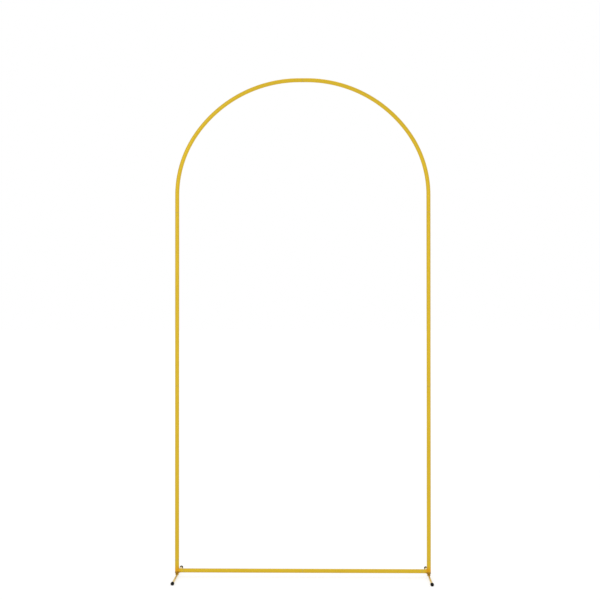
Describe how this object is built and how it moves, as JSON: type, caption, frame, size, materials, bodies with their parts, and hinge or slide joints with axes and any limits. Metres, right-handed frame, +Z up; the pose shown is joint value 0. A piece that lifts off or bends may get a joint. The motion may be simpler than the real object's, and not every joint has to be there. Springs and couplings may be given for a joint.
{
  "type": "wedding arch",
  "caption": "Free-standing wedding arch frame of thin gold round tube with a flattened round top, a crossbar near the floor and short front-to-back feet with black rubber caps.",
  "frame": {"origin": "on the floor, midway between the two posts and midway between the front and rear foot caps", "axes": "+X to the right seen from the front, +Y to the rear, +Z up"},
  "size_m": [1, 0.322, 1.9529],
  "materials": {
    "gold_paint": "glossy gold paint on thin steel tube",
    "black_rubber": "matt moulded black rubber"
  },
  "bodies": {
    "root": {"corner_tee_left": "gold_paint", "corner_tee_right": "gold_paint", "post_lower_left": "gold_paint", "post_lower_right": "gold_paint", "post_upper_left": "gold_paint", "post_upper_right": "gold_paint", "arch_tube_left": "gold_paint", "arch_tube_right": "gold_paint", "crossbar_left": "gold_paint", "crossbar_right": "gold_paint", "foot_bar_left": "gold_paint", "foot_bar_right": "gold_paint", "foot_cap_front_left": "black_rubber", "foot_cap_front_right": "black_rubber", "foot_cap_rear_left": "black_rubber", "foot_cap_rear_right": "black_rubber"}
  },
  "joints": []
}
